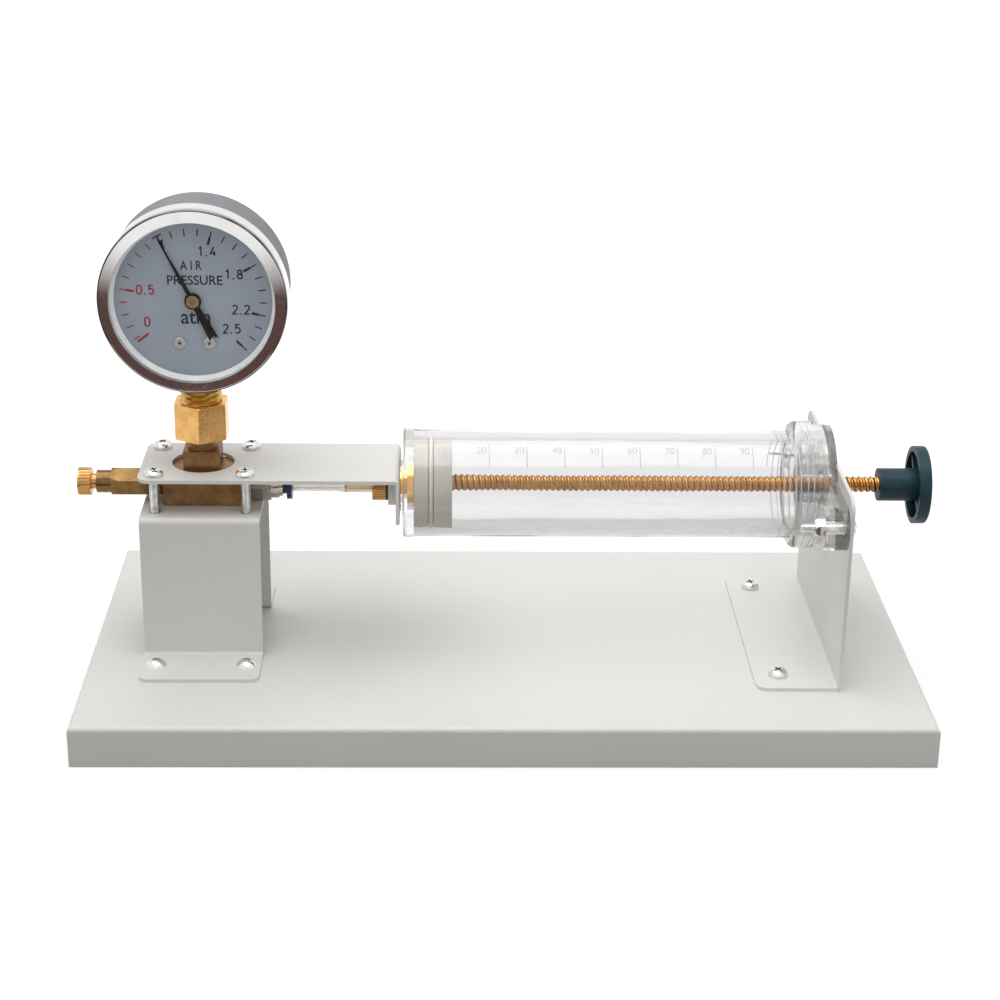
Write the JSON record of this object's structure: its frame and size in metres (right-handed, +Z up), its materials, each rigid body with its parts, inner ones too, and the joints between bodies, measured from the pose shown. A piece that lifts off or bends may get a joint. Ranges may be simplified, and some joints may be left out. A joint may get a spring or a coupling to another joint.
{
  "type": "boyles law apparatus",
  "caption": "Bench Boyle's law apparatus: clear barrel with a screw-driven piston, an air tube, a brass manifold with bleed valve and a pressure gauge on a folded sheet base.",
  "frame": {"origin": "centre of the base tray's underside, on the bench", "axes": "+X along the barrel towards the handwheel, +Y to the back, +Z up"},
  "size_m": [0.2883, 0.145, 0.1686],
  "materials": {
    "painted_sheet": "satin powder coat on folded steel sheet",
    "zinc_steel": "bright zinc-plated steel",
    "brass": "machined brass",
    "case_steel": "grey lacquered steel case",
    "chromed_rim": "bright chrome",
    "lens_glass": "flat clear glass",
    "dial_white": "matt white dial enamel",
    "pointer_black": "matt black paint",
    "black_rubber": "black rubber",
    "clear_rubber": "pale silicone rubber",
    "nickel": "nickel-plated brass",
    "navy_plastic": "moulded plastic",
    "milky_tube": "translucent nylon tube",
    "white_nylon": "white nylon",
    "clear_plastic": "clear polished plastic",
    "milky_plastic": "translucent moulded plastic",
    "green_plastic": "dark green moulded plastic"
  },
  "bodies": {
    "base": {"base_tray": "painted_sheet", "pedestal": "painted_sheet", "pedestal_screws": "zinc_steel", "pedestal_nuts": "zinc_steel", "clamp_strap": "painted_sheet", "strap_screws": "zinc_steel", "strap_nuts": "zinc_steel", "manifold": "brass", "gauge_adapter": "brass", "gauge_socket": "brass", "gauge_case": "case_steel", "gauge_bezel": "chromed_rim", "gauge_lens": "lens_glass", "gauge_dial": "dial_white", "dial_ring": "dial_white", "dial_screws": "brass", "bourdon_tube": "brass", "tube_tip": "brass", "movement_frame": "brass", "hairspring": "brass", "movement_screws": "zinc_steel", "valve_body": "brass", "fitting_body": "nickel", "tube_seal": "black_rubber", "link_tube": "milky_tube", "port_nipple": "brass", "port_nut": "brass", "port_gasket": "black_rubber", "outer_washer": "white_nylon", "inner_washer": "clear_plastic", "barrel": "clear_plastic", "end_cap": "clear_plastic", "cap_screws": "zinc_steel", "cap_nuts": "zinc_steel", "rear_bracket": "painted_sheet", "bracket_screws": "zinc_steel", "bracket_nuts": "zinc_steel"},
    "piston_body": {"piston": "milky_plastic", "piston_ring": "clear_rubber", "piston_retainer": "milky_plastic"},
    "screw_body": {"lead_screw": "brass", "handwheel": "green_plastic"},
    "pointer_body": {"pointer_spindle": "brass", "pointer": "pointer_black"},
    "sector_body": {"sector_gear": "brass"},
    "link_body": {"link": "brass"},
    "pad_body": {"valve_pad": "black_rubber"},
    "bleed_body": {"bleed_screw": "brass"},
    "collet_body": {"release_ring": "navy_plastic"}
  },
  "joints": [
    {"name": "piston_travel", "type": "slide", "parent": "base", "child": "piston_body", "axis": [1, 0, 0], "range_m": [0, 0.115]},
    {"name": "screw_turn", "type": "hinge", "parent": "piston_body", "child": "screw_body", "pos_m": [-0.0224, 0, 0.0701], "axis": [1, 0, 0], "range_deg": [0, 20700]},
    {"name": "pointer_turn", "type": "hinge", "parent": "base", "child": "pointer_body", "pos_m": [-0.1015, -0.0125, 0.1375], "axis": [0, 1, 0], "range_deg": [-108, 162]},
    {"name": "sector_turn", "type": "hinge", "parent": "base", "child": "sector_body", "pos_m": [-0.1015, -0.0052, 0.1213], "axis": [0, 1, 0], "range_deg": [-20.25, 13.5]},
    {"name": "link_turn", "type": "hinge", "parent": "sector_body", "child": "link_body", "pos_m": [-0.1015, -0.0043, 0.1158], "axis": [0, 1, 0], "range_deg": [-13.5, 20.25]},
    {"name": "pad_slide", "type": "slide", "parent": "base", "child": "pad_body", "axis": [-1, 0, 0], "range_m": [0, 0.0015]},
    {"name": "bleed_turn", "type": "hinge", "parent": "pad_body", "child": "bleed_body", "pos_m": [-0.1438, 0, 0.0701], "axis": [-1, 0, 0], "range_deg": [0, 720]},
    {"name": "collet_slide", "type": "slide", "parent": "base", "child": "collet_body", "axis": [-1, 0, 0], "range_m": [0, 0.001], "stiffness_N_per_m": 200}
  ],
  "couplings": [
    {"joint": "screw_turn", "follows": "piston_travel", "rad_per_m": 3141.6},
    {"joint": "sector_turn", "follows": "pointer_turn", "ratio": -0.125},
    {"joint": "link_turn", "follows": "pointer_turn", "ratio": 0.125},
    {"joint": "bleed_turn", "follows": "pad_slide", "rad_per_m": 8377.5}
  ]
}
